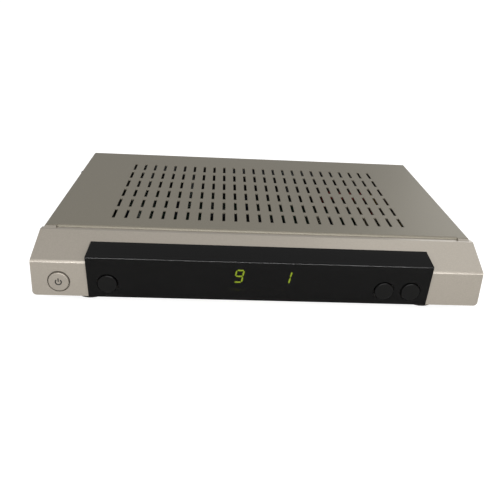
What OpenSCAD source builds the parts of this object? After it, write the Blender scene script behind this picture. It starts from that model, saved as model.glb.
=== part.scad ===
// Satellite tv receiver: a sheet-steel case with a moulded front, four push buttons,
// a seven-segment display, a main board, a mains supply board and rear sockets.
// Millimetres. +Z up, front towards -Y. The origin is under the middle of the whole body.

/* [Case] */
// Width of the steel cover
case_w = 272; // [270:1:300]
// Depth of the steel cover, from its front edge to its rear edge
cover_d = 156.7; // [152:0.1:175]
// Height from the underside of the base to the top of the cover
case_h = 36; // [36:0.5:44]
// Thickness of the cover, base and rear panel sheet
sheet_t = 0.8; // [0.6:0.1:1.0]
// Outside radius of the cover's bends
bend_r = 1.6; // [1.2:0.1:2.4]
// Gap between sheets that lap each other
lap_gap = 0.2; // [0.1:0.05:0.3]
// Height of the bent lip along the cover's front edge
lip_h = 4; // [3:0.5:6]
// Clear corner at each end of the front lip
lip_relief = 8; // [6:0.5:12]
// Width of each rear tab of the cover
tab_w = 16; // [12:1:20]
// Depth of each rear tab of the cover
tab_h = 9; // [8:0.5:10]
// Height of the base's side flanges
flange_h = 12; // [8:1:16]
// Reach of the rear panel's bottom flange
panel_foot = 10; // [9:0.5:12]

/* [Vents] */
// Slots across the cover
vent_cols = 25; // [15:1:27]
// Rows of slots
vent_rows = 6; // [3:1:6]
// Spacing of the slots across the cover
vent_pitch_x = 8; // [6:0.5:8.5]
// Spacing of the rows
vent_pitch_y = 20; // [17:0.5:22]
// Width of a slot
vent_w = 2; // [1.5:0.1:3]
// Length of a slot
vent_l = 15; // [10:0.5:16]
// Distance from the cover's front edge to the middle of the first row
vent_front = 22; // [18:0.5:26]

/* [Feet] */
// Height of a foot
foot_h = 8; // [5:0.5:12]
// Diameter of a foot
foot_d = 24; // [16:1:28]
// Distance of the feet's middle from the cover's flanks
foot_side = 28; // [20:0.5:40]
// Distance of the feet from the base's front and rear edges
foot_in = 12.5; // [12.5:0.5:24]

/* [Bezel] */
// How far each flank of the bezel stands out past the cover
flare = 4; // [3:0.5:6]
// How far the bezel's rear edge stands out past the cover
rear_flare = 1; // [0.5:0.1:1.5]
// Drop from the cover's top to the bezel's flat top
bezel_drop = 1.3; // [1:0.1:2]
// Depth of the bezel's flat top
bezel_flat = 3.8; // [3:0.1:6]
// Depth of the bezel's slope
slope_d = 18.7; // [17:0.1:22]
// Height of the bezel's slope
slope_h = 12.9; // [11:0.1:14]
// How far the chin leans out towards its foot
chin_lean = 1.3; // [0.5:0.1:2]
// How far the bezel hangs below the base
skirt = 1; // [0.5:0.1:2]
// Wall of the bezel
bezel_wall = 2.2; // [1.8:0.1:2.6]
// Radius of the bezel's front crease
crease_r = 2.6; // [1:0.1:3]
// Radius of the bezel's lower corners
corner_r = 2.5; // [1:0.1:4]
// Gap between the bezel and the cover
seam_gap = 0.3; // [0.2:0.05:0.5]
// Depth of the ramps in front of the cover's corners
ramp_l = 2; // [1:0.5:3]

/* [Window] */
// Width of the bezel's face beside the window's foot
window_side = 34; // [33:0.5:36]
// Extra half width of the window at its crease
window_bulge = 0.6; // [0:0.1:1]
// Half width that the window loses towards its top edge
window_taper = 0.7; // [0:0.1:1]
// Distance from the cover's front edge to the window's top edge
window_back = 10.8; // [8:0.1:13]
// How far the window's crease stands out past the bezel's crease
window_proud = 2.8; // [2:0.1:4]
// How far the window's crease stands above the bezel's crease
window_rise = 4.6; // [3:0.1:5.5]
// How far the window's edges stand proud of the bezel
window_lip = 0.4; // [0.1:0.1:0.6]
// Radius of the window's crease
window_r = 0.8; // [0.3:0.1:1.2]
// Thickness of the window along its edges
window_t = 2; // [1.6:0.1:2.4]
// Wall of the bezel behind the window
seat_t = 2.2; // [1.8:0.1:2.6]
// Gap around the window in the bezel
window_gap = 0.2; // [0.1:0.05:0.3]

/* [Buttons] */
// Diameter of the black buttons
button_d = 11.7; // [10:0.1:12]
// Diameter of the power button
power_d = 12.4; // [11:0.1:12.8]
// Gap around a button in its hole
button_gap = 0.7; // [0.3:0.05:0.8]
// Height of the buttons' axes above the base's underside
button_up = 8.5; // [8.4:0.1:12]
// Distance of the power button's axis from the bezel's flank
power_side = 16.4; // [15:0.1:18]
// Distance of the menu button's axis from the window's left edge
menu_side = 12; // [9:0.1:20]
// Distance of the channel up button's axis from the window's right edge
channel_side = 11.5; // [9:0.1:13]
// Spacing of the two channel buttons
channel_pitch = 17; // [15:0.1:24]
// How far a cap stands proud of the face around it
cap_proud = 0.9; // [0.6:0.1:1.2]
// Radius of a cap's edge
cap_r = 0.6; // [0.2:0.1:0.8]
// Travel of a button
button_travel = 0.5; // [0.3:0.1:0.6]
// Rim that keeps a button behind its hole
button_rim = 0.4; // [0.3:0.05:0.5]
// Thickness of that rim
rim_t = 1.2; // [0.8:0.1:1.6]
// Gap between the rim and the wall in front of it
rim_gap = 0.3; // [0.2:0.05:0.5]
// Diameter of a button's stem
stem_d = 5; // [4:0.5:6]
// Diameter of a switch plunger
plunger_d = 3.4; // [3:0.1:3.6]
// Length of a switch plunger outside its switch
plunger_l = 1.5; // [1.2:0.1:2]
// Side of a switch body
switch_w = 6; // [5.5:0.1:7]
// Height of a switch body
switch_h = 3.5; // [3:0.1:4.2]

/* [Display] */
// Width of the display's housing
display_w = 40.2; // [39:0.1:44]
// Height of the display's housing
display_h = 12.8; // [12:0.1:14]
// Depth of the display's housing
display_t = 7; // [6:0.1:8]
// Place of the display across the front
display_x = 1.5; // [-4:0.1:4]
// Height of the display's middle above the base's underside
display_up = 12.7; // [12:0.1:13.5]
// Spacing of the digits
digit_pitch = 10; // [9:0.1:10.4]
// Width of a digit between the middles of its upright segments
digit_w = 4.6; // [4:0.1:5.2]
// Height of a digit between the middles of its outer bars
digit_h = 8.4; // [7:0.1:9]
// Slant of the digits in degrees
digit_slant = 10; // [0:1:12]
// Width of a segment
segment_w = 0.9; // [0.6:0.1:1.3]
// Gap between the ends of two segments
segment_gap = 0.5; // [0.3:0.05:0.8]
// Height of a lit segment over the housing's face
segment_t = 0.2; // [0.1:0.05:0.4]

/* [Front board] */
// Distance from the bezel's crease back to the front board
front_board_back = 13.2; // [13:0.1:15]
// Gap between the front board and the bezel's slope above it
front_board_room = 3.8; // [2.5:0.1:6]
// Gap between the front board and the base
front_board_lift = 1; // [0.5:0.1:1.5]
// Reach of the front board past the outer buttons
front_board_end = 7.6; // [6:0.1:9]
// Place of the infrared receiver across the front
infrared_x = 34; // [30:0.5:40]
// Width of the infrared receiver
infrared_w = 6; // [5:0.1:7]
// Radius of the infrared receiver's lens
infrared_r = 2.2; // [1.8:0.1:2.5]
// Distance of the left boss of the front board from the power button's axis
boss_from_power = 14.7; // [14:0.1:15]
// Distance of the middle boss from the middle of the ribbon cable
boss_from_ribbon = 20; // [19:0.5:24]
// Distance of the right boss from the channel down button's axis
boss_from_channel = 19.5; // [12:0.5:26]
// Place of the ribbon cable across the front
ribbon_x = -40; // [-44:1:-36]
// Width of the ribbon cable
ribbon_w = 26; // [20:1:27]
// Height of those bosses above the base's underside
front_boss_up = 15; // [14:0.1:16]

/* [Boards] */
// Thickness of every board
board_t = 1.6; // [1.2:0.1:2]
// Height of the standoffs under the boards
standoff_h = 4; // [4:0.5:6]
// Diameter of a standoff
standoff_d = 6; // [5.4:0.1:8]
// Distance from the front board back to the main and supply boards
board_front = 18; // [16:0.5:24]
// Width of the supply board
supply_w = 42; // [41:0.5:44]
// Gap between the main board and the base's flange beside it
board_side = 4; // [3:0.1:6]
// Gap between the supply board and the base's flange beside it
supply_side = 2; // [1:0.1:4]
// Gap between the two boards
board_split = 3; // [1.5:0.1:4]
// Gap between a board and the rear panel
board_rear = 2.2; // [1:0.1:3]

/* [Screws] */
// Diameter of a case screw's shank
case_screw_d = 3; // [2.6:0.1:3.4]
// Length of a case screw's shank
case_screw_l = 6; // [5:0.5:8]
// Diameter of a case screw's head
case_head_d = 6; // [5.2:0.1:6.4]
// Height of a case screw's head
case_head_h = 2; // [1.4:0.1:2.2]
// Diameter of a board screw's shank
board_screw_d = 2.6; // [2:0.1:3]
// Length of a board screw's shank
board_screw_l = 5.6; // [5:0.1:6]
// Diameter of a board screw's head
board_head_d = 5; // [4.2:0.1:5.4]
// Height of a board screw's head
board_head_h = 1.8; // [1.4:0.1:2.2]
// Gap around a screw in its hole
screw_gap = 0.1; // [0.08:0.01:0.15]
// Place of the side screws, from the cover's rear edge
side_screw_in = 43.7; // [38:0.1:50]
// Distance of the side screws below the cover's top
side_screw_down = 5; // [4.2:0.1:6]

/* [Rear sockets] */
// How far the aerial sockets reach past the cover's rear edge
f_reach = 10; // [9.5:0.1:14]
// Diameter of an aerial socket's thread
f_d = 9.52; // [9:0.01:10]
// Bore of an aerial socket
f_bore = 4; // [3:0.1:5]
// Spacing of the aerial sockets
f_pitch = 20; // [18:0.5:22]
// Height of the aerial sockets' axes above the board
f_up = 11; // [9:0.1:13]
// Size across the flats of an aerial socket's nut
f_nut = 11; // [10.6:0.1:13]
// Thickness of that nut
f_nut_t = 2.4; // [1.5:0.1:3]
// Width of the tuner
tuner_w = 34; // [33:0.5:38]
// Height of the tuner
tuner_h = 20; // [18:0.5:24]
// Depth of the tuner
tuner_d = 36; // [30:0.5:40]
// Gap between the tuner's front wall and the rear panel
tuner_gap = 1; // [0.5:0.1:1.5]
// Width of a scart socket
scart_w = 47; // [45:0.5:48]
// Height of a scart socket
scart_h = 16; // [15:0.5:18]
// Depth of a scart socket behind the panel
scart_d = 18; // [15:0.5:22]
// How far the plastic sockets stand out of the panel
socket_proud = 1.2; // [0.5:0.1:2]
// Diameter of a phono socket's barrel
phono_d = 8.3; // [8:0.1:8.6]
// How far a phono barrel stands out of the panel
phono_reach = 9; // [8:0.1:9.8]
// Spacing of the phono sockets across the panel
phono_pitch = 14; // [12.5:0.1:15]
// Spacing of the phono sockets up the panel
phono_rise = 12.5; // [12:0.1:14]
// Height of the lower phono sockets' axes above the board
phono_up = 6; // [6:0.1:7]
// Width of the serial socket's flange
serial_w = 31; // [30.8:0.1:32]
// Spacing of the serial socket's posts
serial_pitch = 25; // [24.5:0.1:25.2]
// How far the serial socket's shell stands out of the panel
serial_reach = 6; // [5:0.1:7]
// Width of the mains inlet
inlet_w = 22; // [21:0.5:24]
// Height of the mains inlet
inlet_h = 16; // [15:0.5:18]
// Depth of the mains inlet behind the panel
inlet_d = 19; // [18:0.5:20]
// Spacing of the inlet's pins
inlet_pitch = 8.6; // [8.4:0.1:8.8]

/* [Hidden] */
$fn = 48;

// Stations along Y
total_d = window_proud + slope_d + bezel_flat + cover_d + f_reach;
front_y = -total_d / 2;
crease_y = front_y + window_proud;
seam_y = crease_y + slope_d + bezel_flat;
rear_y = seam_y + cover_d;
panel_y = rear_y - sheet_t - lap_gap;
panel_in_y = panel_y - sheet_t;
base_front_y = crease_y + bezel_wall + seat_t + 1.4;
front_board_y = crease_y + front_board_back;

// Stations along Z
base_z = foot_h;
floor_z = base_z + sheet_t;
top_z = base_z + case_h;
under_top_z = top_z - sheet_t;
bezel_foot_z = base_z - skirt;
bezel_top_z = top_z - bezel_drop;
crease_z = bezel_top_z - slope_h;
board_z = floor_z + standoff_h;
board_top_z = board_z + board_t;

// Half widths
cover_hw = case_w / 2;
inner_hw = cover_hw - sheet_t - lap_gap;
bezel_hw = cover_hw + flare;
eps = 0.01;

// Boards
main_x0 = -inner_hw + sheet_t + board_side;
supply_x1 = inner_hw - sheet_t - supply_side;
supply_x0 = supply_x1 - supply_w;
main_x1 = supply_x0 - board_split;
main_w = main_x1 - main_x0;
boards_y1 = panel_in_y - board_rear;
boards_y0 = front_board_y + board_front;
boards_d = boards_y1 - boards_y0;
supply_x = supply_x0 + supply_w / 2;

// ---------------------------------------------------------------- shared shapes

// Draws a Y-Z outline and runs it across X
module across(w) {
    rotate([90, 0, 90]) linear_extrude(w, center = true) children();
}

// Draws an X-Z outline and runs it back along Y from y0
module backward(y0, d) {
    translate([0, y0 + d, 0]) rotate([90, 0, 0]) linear_extrude(d) children();
}

// A round bar along +Y from y0
module rod(x, y0, z, d, l) {
    translate([x, y0, z]) rotate([-90, 0, 0]) cylinder(d = d, h = l);
}

// A block that stands on z0, centred on x and y
module block(x, y, z0, w, d, h) {
    translate([x - w / 2, y - d / 2, z0]) cube([w, d, h]);
}

// A pan-head screw, its head on top of z = 0
module screw(shank_d, shank_l, head_d, head_h) {
    translate([0, 0, -shank_l]) cylinder(d = shank_d, h = shank_l + eps);
    cylinder(d1 = head_d, d2 = head_d * 0.8, h = head_h);
}

// ---------------------------------------------------------------- bezel geometry

slope_a = atan2(slope_h, slope_d);
chin_a = atan2(chin_lean, crease_z - bezel_foot_z);
n_slope = [-sin(slope_a), cos(slope_a)];
n_chin = [-cos(chin_a), sin(chin_a)];
n_det = n_slope[0] * n_chin[1] - n_slope[1] * n_chin[0];

// The crease of the bezel's outline moved in by d
function crease_in(d) =
    [crease_y, crease_z] - d / n_det * [n_chin[1] - n_slope[1], n_slope[0] - n_chin[0]];

// The same crease rounded, from the slope to the chin
function crease_arc(d, steps = 6) =
    let (r = max(crease_r - d, 0.2), c = crease_in(d + r), a0 = 90 + slope_a, a1 = 180 - chin_a)
    [for (i = [0:steps]) let (a = a0 + (a1 - a0) * i / steps) c + r * [cos(a), sin(a)]];

// Y of the chin's face at a height, and Z of the slope's face at a depth, moved in by d
function chin_y(z, d = 0) = crease_in(d)[0] - tan(chin_a) * (crease_in(d)[1] - z);
function slope_z(y, d = 0) = crease_in(d)[1] + tan(slope_a) * (y - crease_in(d)[0]);

// The bezel's Y-Z outline moved in by d
function bezel_outline(d, y1, z0) = concat(
    [[y1, z0], [y1, bezel_top_z - d]],
    [[seam_y - bezel_flat + d * tan(slope_a / 2), bezel_top_z - d]],
    crease_arc(d),
    [[chin_y(z0, d), z0]]);

// The bezel's plan, moved in by d
module bezel_plan(d, y1) {
    polygon([
        [-(cover_hw + rear_flare - d), y1], [-(bezel_hw - d), crease_y],
        [-(bezel_hw - d), front_y - 1], [bezel_hw - d, front_y - 1],
        [bezel_hw - d, crease_y], [cover_hw + rear_flare - d, y1]]);
}

// The bezel's front outline, with its rounded lower corners, moved in by d
module bezel_face(d, z0) {
    hw = bezel_hw - d;
    r = max(corner_r - d, 0.4);
    translate([-hw, z0 + r]) square([2 * hw, top_z - z0]);
    translate([-hw + r, z0]) square([2 * (hw - r), r + eps]);
    for (s = [-1, 1]) translate([s * (hw - r), z0 + r]) circle(r);
}

module bezel_form(d, y1, z0) {
    intersection() {
        across(2 * bezel_hw) polygon(bezel_outline(d, y1, z0));
        translate([0, 0, z0]) linear_extrude(top_z - z0) bezel_plan(d, y1);
        backward(front_y, y1 - front_y) bezel_face(d, z0);
    }
}

// ---------------------------------------------------------------- window geometry

window_hw = bezel_hw - window_side;
window_top_y = seam_y - window_back;
window_top_z = slope_z(window_top_y) + window_lip;
window_crease_z = crease_z + window_rise;
window_foot_y = chin_y(bezel_foot_z) - window_lip;
seat_in = window_t + window_gap;
seat_hw = window_hw + window_bulge + window_gap + bezel_wall;

// Y of the window's face at a height
function window_y(z) =
    front_y + (window_foot_y - front_y) * (window_crease_z - z) / (window_crease_z - bezel_foot_z);

// The window's front outline, grown by g
module window_face(g) {
    hw = window_hw + g;
    polygon([
        [-hw, bezel_foot_z - g], [hw, bezel_foot_z - g],
        [hw + window_bulge, window_crease_z], [hw - window_taper, window_top_z + g],
        [-hw + window_taper, window_top_z + g], [-hw - window_bulge, window_crease_z]]);
}

// A corner b between a and c rounded to radius r, from a's side to c's side
function rounded(a, b, c, r, steps = 6) =
    let (u = (a - b) / norm(a - b), v = (c - b) / norm(c - b), half = acos(u * v) / 2,
         middle = b + (u + v) / norm(u + v) * r / sin(half),
         p0 = b + u * r / tan(half) - middle, p1 = b + v * r / tan(half) - middle,
         a0 = atan2(p0[1], p0[0]), sweep = (atan2(p1[1], p1[0]) - a0 + 540) % 360 - 180)
    [for (i = [0:steps]) let (t = a0 + sweep * i / steps) middle + r * [cos(t), sin(t)]];

// The window's Y-Z outline
function window_outline() =
    let (top = [window_top_y, window_top_z], foot = [window_foot_y, bezel_foot_z])
    concat(
        [[window_top_y, slope_z(window_top_y, window_t)], top],
        rounded(top, [front_y, window_crease_z], foot, window_r),
        [foot, [chin_y(bezel_foot_z, window_t), bezel_foot_z]],
        [for (i = [6:-1:0]) crease_arc(window_t)[i]]);

// The room that the window takes out of the bezel
module window_room() {
    intersection() {
        across(2 * bezel_hw) difference() {
            translate([front_y - 1, bezel_foot_z - 1])
                square([window_top_y + window_gap - front_y + 1, case_h + 4]);
            polygon(bezel_outline(seat_in, seam_y, bezel_foot_z - 2));
        }
        backward(front_y - 1, seam_y - front_y) window_face(window_gap);
    }
}

// ---------------------------------------------------------------- button stations

button_z = base_z + button_up;
power_x = power_side - bezel_hw;
menu_x = menu_side - window_hw;
up_x = window_hw - channel_side;
down_x = up_x - channel_pitch;
window_button_x = [menu_x, down_x, up_x];
button_x = concat([power_x], window_button_x);
button_hole_d = button_d + 2 * button_gap;
power_hole_d = power_d + 2 * button_gap;
switch_top_y = front_board_y - switch_h;
plunger_tip_y = switch_top_y - plunger_l;
display_z = base_z + display_up;
display_front_y = front_board_y - display_t;
front_boss_z = base_z + front_boss_up;
front_boss_x = [power_x + boss_from_power, ribbon_x - boss_from_ribbon, down_x - boss_from_channel];
front_boss_d = 5.6;
front_board_z = floor_z + front_board_lift;
front_board_h = slope_z(front_board_y, seat_in + seat_t) - front_board_room - front_board_z;

// ---------------------------------------------------------------- case

// The cover's X-Z section: two sides and a top, rounded at the bends
module cover_section(inset) {
    hw = cover_hw - inset;
    r = max(bend_r - inset, 0.3);
    z0 = base_z - (inset > 0 ? 1 : 0);
    translate([-hw, z0]) square([2 * hw, top_z - inset - r - z0]);
    translate([-hw + r, top_z - inset - r - eps]) square([2 * (hw - r), r + eps]);
    for (s = [-1, 1]) translate([s * (hw - r), top_z - inset - r]) circle(r);
}

side_screw_y = rear_y - side_screw_in;
side_screw_z = top_z - side_screw_down;
tab_screw_z = top_z - tab_h / 2 - 0.6;
case_hole_d = case_screw_d + 2 * screw_gap;

module vent_slots() {
    for (i = [0:vent_cols - 1], j = [0:vent_rows - 1])
        block((i - (vent_cols - 1) / 2) * vent_pitch_x, seam_y + vent_front + j * vent_pitch_y,
              under_top_z - 1, vent_w, vent_l, sheet_t + 2);
}

module side_screw_hole(s) {
    translate([s * (cover_hw - 3), side_screw_y, side_screw_z]) rotate([0, s * 90, 0])
        cylinder(d = case_hole_d, h = 6);
}

// The lip along the cover's front edge, turned down from the top over the bend
module front_lip() {
    across(2 * (cover_hw - lip_relief)) {
        translate([seam_y, top_z - lip_h]) square([sheet_t, lip_h - bend_r + eps]);
        intersection() {
            translate([seam_y + bend_r, top_z - bend_r]) difference() {
                circle(bend_r);
                circle(bend_r - sheet_t);
            }
            translate([seam_y, top_z - bend_r]) square(bend_r + eps);
        }
    }
}

module top_cover() {
    color("#857f74") difference() {
        union() {
            difference() {
                backward(seam_y, cover_d) difference() {
                    cover_section(0);
                    cover_section(sheet_t);
                }
                translate([-(cover_hw - lip_relief), seam_y - 1, top_z - lip_h])
                    cube([2 * (cover_hw - lip_relief), bend_r + 1, lip_h + 1]);
            }
            front_lip();
            for (x = tab_x) translate([x - tab_w / 2, rear_y - sheet_t, top_z - tab_h])
                cube([tab_w, sheet_t, tab_h - eps]);
        }
        vent_slots();
        for (s = [-1, 1]) side_screw_hole(s);
        for (x = tab_x) rod(x, rear_y - sheet_t - 1, tab_screw_z, case_hole_d, sheet_t + 2);
    }
}

ear_w = 16;
main_in = 6;
supply_in = 5;
main_holes = [
    [main_x0 + main_in, boards_y0 + main_in], [main_x1 - main_in, boards_y0 + main_in],
    [main_x0 + main_in, boards_y1 - 50], [main_x1 - main_in, boards_y1 - 30]];
supply_holes = [
    [supply_x0 + supply_in, boards_y0 + supply_in], [supply_x1 - supply_in, boards_y0 + supply_in],
    [supply_x0 + supply_in, boards_y1 - 28.5], [supply_x1 - supply_in, boards_y1 - 28.5]];
bezel_post_x = cover_hw - 6.5;
bezel_post_y = seam_y - 3.3;
bezel_post_d = 6;
bezel_post_h = 12;
bezel_rib_t = 1.8;
bezel_rib_l = cover_hw + rear_flare - 0.4 - bezel_post_x;
ledge_w = lip_relief - sheet_t - 2 * lap_gap;
ledge_l = 4;
panel_screw_x = [-60, 0, 60];
panel_screw_y = panel_in_y - panel_foot / 2 - 0.5;
board_hole_d = board_screw_d + 2 * screw_gap;

module base_vents() {
    for (i = [-4:4], j = [0:2])
        block(i * 12, boards_y0 + 40 + j * 24, base_z - 1, 3, 16, sheet_t + 2);
}

module chassis_base() {
    color("#b9bcbd") difference() {
        union() {
            translate([-inner_hw, base_front_y, base_z])
                cube([2 * inner_hw, panel_y - base_front_y, sheet_t]);
            for (s = [-1, 1]) {
                block(s * (inner_hw - sheet_t / 2), (seam_y + panel_in_y - 1) / 2, base_z,
                      sheet_t, panel_in_y - 1 - seam_y, flange_h);
                block(s * (inner_hw - sheet_t / 2), side_screw_y, base_z,
                      sheet_t, ear_w, side_screw_z + 3.4 - base_z);
            }
            for (p = concat(main_holes, supply_holes)) translate([p[0], p[1], floor_z - eps])
                cylinder(d = standoff_d, h = standoff_h + eps);
        }
        for (p = concat(main_holes, supply_holes)) translate([p[0], p[1], base_z - 1])
            cylinder(d = board_hole_d, h = standoff_h + sheet_t + 2);
        for (s = [-1, 1]) {
            side_screw_hole(s);
            translate([s * bezel_post_x, bezel_post_y, base_z - 1])
                cylinder(d = case_hole_d, h = sheet_t + 2);
        }
        for (x = panel_screw_x) translate([x, panel_screw_y, base_z - 1])
            cylinder(d = case_hole_d, h = sheet_t + 2);
        for (p = foot_places) translate([p[0], p[1], base_z - 1])
            cylinder(d = foot_peg_d + 2 * screw_gap, h = sheet_t + 2);
        base_vents();
    }
}

foot_peg_d = 5;
foot_x = cover_hw - foot_side;
foot_places = [for (x = [-foot_x, foot_x], y = [base_front_y + foot_in, panel_y - foot_in]) [x, y]];

// Turned feet with a sole bevel, and a peg that snaps into the base
module rubber_feet() {
    color("#2a2724") for (p = foot_places) translate([p[0], p[1], 0]) rotate_extrude()
        polygon([
            [0, 0], [foot_d / 2 - 2.5, 0], [foot_d / 2 - 1.5, 1], [foot_d / 2, foot_h - 2.5],
            [foot_d / 2, foot_h], [foot_peg_d / 2, foot_h], [foot_peg_d / 2, foot_h + sheet_t + 1],
            [0, foot_h + sheet_t + 1]]);
}

module case_screws() {
    color("#3b3a38") {
        for (s = [-1, 1]) {
            translate([s * cover_hw, side_screw_y, side_screw_z]) rotate([0, s * 90, 0])
                screw(case_screw_d, case_screw_l, case_head_d, case_head_h);
            translate([s * bezel_post_x, bezel_post_y, base_z]) rotate([180, 0, 0])
                screw(case_screw_d, case_screw_l, case_head_d, case_head_h);
        }
        for (x = tab_x) translate([x, rear_y, tab_screw_z]) rotate([-90, 0, 0])
            screw(case_screw_d, case_screw_l, case_head_d, case_head_h);
        for (x = panel_screw_x) translate([x, panel_screw_y, base_z]) rotate([180, 0, 0])
            screw(case_screw_d, case_screw_l - 2, case_head_d, case_head_h);
    }
}

// ---------------------------------------------------------------- front

// Ramps that hide the raw edges of the cover's two front corners, which have no lip
module corner_ramps(y1) {
    ramp_z = top_z - seam_gap;
    intersection() {
        across(2 * cover_hw) polygon([
            [y1, bezel_top_z - eps], [y1, ramp_z], [y1 - seam_gap, ramp_z],
            [y1 - seam_gap - ramp_l, bezel_top_z - eps]]);
        backward(y1 - ramp_l - 1, ramp_l + 2) difference() {
            cover_section(seam_gap);
            translate([-(cover_hw - lip_relief + seam_gap), base_z])
                square([2 * (cover_hw - lip_relief + seam_gap), case_h]);
        }
    }
}

module front_bezel() {
    y1 = seam_y - seam_gap;
    color("#a9a195") difference() {
        union() {
            difference() {
                bezel_form(0, y1, bezel_foot_z);
                bezel_form(bezel_wall, y1 + 2, bezel_foot_z - 2);
            }
            across(2 * seat_hw) intersection() {
                difference() {
                    polygon(bezel_outline(0, y1, bezel_foot_z));
                    polygon(bezel_outline(seat_in + seat_t, y1 + 2, bezel_foot_z - 2));
                }
                translate([front_y, 0]) square([window_top_y + window_gap + seat_t - front_y, top_z]);
            }
            for (x = front_boss_x) rod(x, chin_y(front_boss_z) + 0.6, front_boss_z, front_boss_d,
                                       front_board_y - chin_y(front_boss_z) - 0.6);
            for (s = [-1, 1]) {
                translate([s * bezel_post_x, bezel_post_y, floor_z])
                    cylinder(d = bezel_post_d, h = bezel_post_h);
                block(s * (bezel_post_x + bezel_rib_l / 2), bezel_post_y, floor_z,
                      bezel_rib_l, bezel_rib_t, bezel_post_h);
                block(s * (inner_hw - ledge_w / 2), seam_y + 1, bezel_top_z - bezel_wall,
                      ledge_w, 2 * ledge_l - 2, bezel_wall);
            }
            corner_ramps(y1);
        }
        window_room();
        rod(power_x, front_y, button_z, power_hole_d, 8);
        for (x = window_button_x) rod(x, front_y, button_z, button_hole_d, 10);
        for (x = front_boss_x) rod(x, front_board_y - 6, front_boss_z, board_hole_d, 7);
        for (s = [-1, 1]) translate([s * bezel_post_x, bezel_post_y, floor_z - 1])
            cylinder(d = case_hole_d, h = case_screw_l + 1);
        block(display_x, crease_y, display_z - display_h / 2 - 1,
              display_w + 2, 2 * front_board_back, display_h + 2);
        rod(infrared_x, front_y, display_z, 2 * infrared_r + 3, 12);
    }
}

module display_window() {
    color("#141414") difference() {
        intersection() {
            across(2 * bezel_hw) polygon(window_outline());
            backward(front_y - 1, seam_y - front_y) window_face(0);
        }
        for (x = window_button_x) rod(x, front_y - 2, button_z, button_hole_d, 12);
    }
}

// A cap with a rounded edge, a retaining rim behind the wall and a stem to the switch
module push_button(x, d, face_y, wall_y) {
    cap_y = face_y - cap_proud;
    rim_y = wall_y + rim_gap;
    edge = [for (a = [0:22.5:90]) [d / 2 - cap_r + cap_r * sin(a), cap_r - cap_r * cos(a)]];
    translate([x, cap_y, button_z]) rotate([-90, 0, 0]) rotate_extrude() polygon(concat(
        [[0, 0]], edge, [
            [d / 2, rim_y - cap_y],
            [d / 2 + button_gap + button_rim, rim_y - cap_y],
            [d / 2 + button_gap + button_rim, rim_y + rim_t - cap_y],
            [stem_d / 2, rim_y + rim_t - cap_y], [stem_d / 2, plunger_tip_y - cap_y],
            [0, plunger_tip_y - cap_y]]));
}

// The window's buttons share a face and a wall, at their own height
module window_button(x) {
    push_button(x, button_d, window_y(button_z), chin_y(button_z + button_d / 2, seat_in + seat_t));
}

module power_button() {
    color("#aba398")
        push_button(power_x, power_d, chin_y(button_z), chin_y(button_z + power_d / 2, bezel_wall));
}
module menu_button() { color("#1d1d1c") window_button(menu_x); }
module channel_down_button() { color("#1d1d1c") window_button(down_x); }
module channel_up_button() { color("#1d1d1c") window_button(up_x); }

// A switch plunger, with the part that runs inside its switch
module plunger(x) {
    rod(x, plunger_tip_y, button_z, plunger_d, plunger_l + 1);
}

module power_plunger() { color("#e8e4d8") plunger(power_x); }
module menu_plunger() { color("#e8e4d8") plunger(menu_x); }
module channel_down_plunger() { color("#e8e4d8") plunger(down_x); }
module channel_up_plunger() { color("#e8e4d8") plunger(up_x); }

module tact_switches() {
    color("#33322f") for (x = button_x) difference() {
        block(x, switch_top_y + switch_h / 2, button_z - switch_w / 2, switch_w, switch_h, switch_w);
        rod(x, switch_top_y - 1, button_z, plunger_d + 0.4, 1 + 1 + button_travel + 0.4);
    }
}

module front_board() {
    x0 = power_x - front_board_end;
    x1 = up_x + front_board_end;
    color("#2f5a3a") difference() {
        translate([x0, front_board_y, front_board_z])
            cube([x1 - x0, board_t, front_board_h]);
        for (x = front_boss_x) rod(x, front_board_y - 1, front_boss_z, board_hole_d, board_t + 2);
    }
}

module display_module() {
    color("#17181a")
        block(display_x, front_board_y - display_t / 2, display_z - display_h / 2,
              display_w, display_t, display_h);
}

// One segment as a flat bar with pointed ends, drawn about its middle
module segment(l) {
    h = segment_w / 2;
    e = l / 2;
    polygon([[-e, 0], [-e + h, h], [e - h, h], [e, 0], [e - h, -h], [-e + h, -h]]);
}

// A slanted figure from its lit segments: a top, b and c right, d foot, e and f left, g middle
module figure_segments(lit) {
    bar = digit_w - segment_gap;
    post = digit_h / 2 - segment_gap;
    multmatrix([[1, tan(digit_slant), 0, 0], [0, 1, 0, 0], [0, 0, 1, 0], [0, 0, 0, 1]]) {
        for (s = lit) {
            if (s == "a") translate([0, digit_h / 2]) segment(bar);
            if (s == "b") translate([digit_w / 2, digit_h / 4]) rotate(90) segment(post);
            if (s == "c") translate([digit_w / 2, -digit_h / 4]) rotate(90) segment(post);
            if (s == "d") translate([0, -digit_h / 2]) segment(bar);
            if (s == "f") translate([-digit_w / 2, digit_h / 4]) rotate(90) segment(post);
            if (s == "g") segment(bar);
        }
    }
}

// The display shows a plain 9 at its left end and a plain 1 at its right end
module lit_segments() {
    color("#9fb12e") translate([0, display_front_y, 0]) rotate([90, 0, 0]) linear_extrude(segment_t) {
        translate([display_x - 1.5 * digit_pitch, display_z]) figure_segments("abcdfg");
        translate([display_x + 1.5 * digit_pitch, display_z]) figure_segments("bc");
    }
}

// A square body with a lens that looks out through the window
module infrared_receiver() {
    color("#241f26") {
        block(infrared_x, front_board_y - 2, display_z - infrared_w / 2, infrared_w, 4, infrared_w);
        rod(infrared_x, front_board_y - 6, display_z, 2 * infrared_r, 4);
    }
}

// ---------------------------------------------------------------- ribbon cable

ribbon_t = 1;
ribbon_bend = 4;
ribbon_plug = 6;
ribbon_start_y = front_board_y + board_t + ribbon_plug;
ribbon_end_y = boards_y0 + 8;
ribbon_z = board_top_z + ribbon_plug + ribbon_bend + 1;

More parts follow.
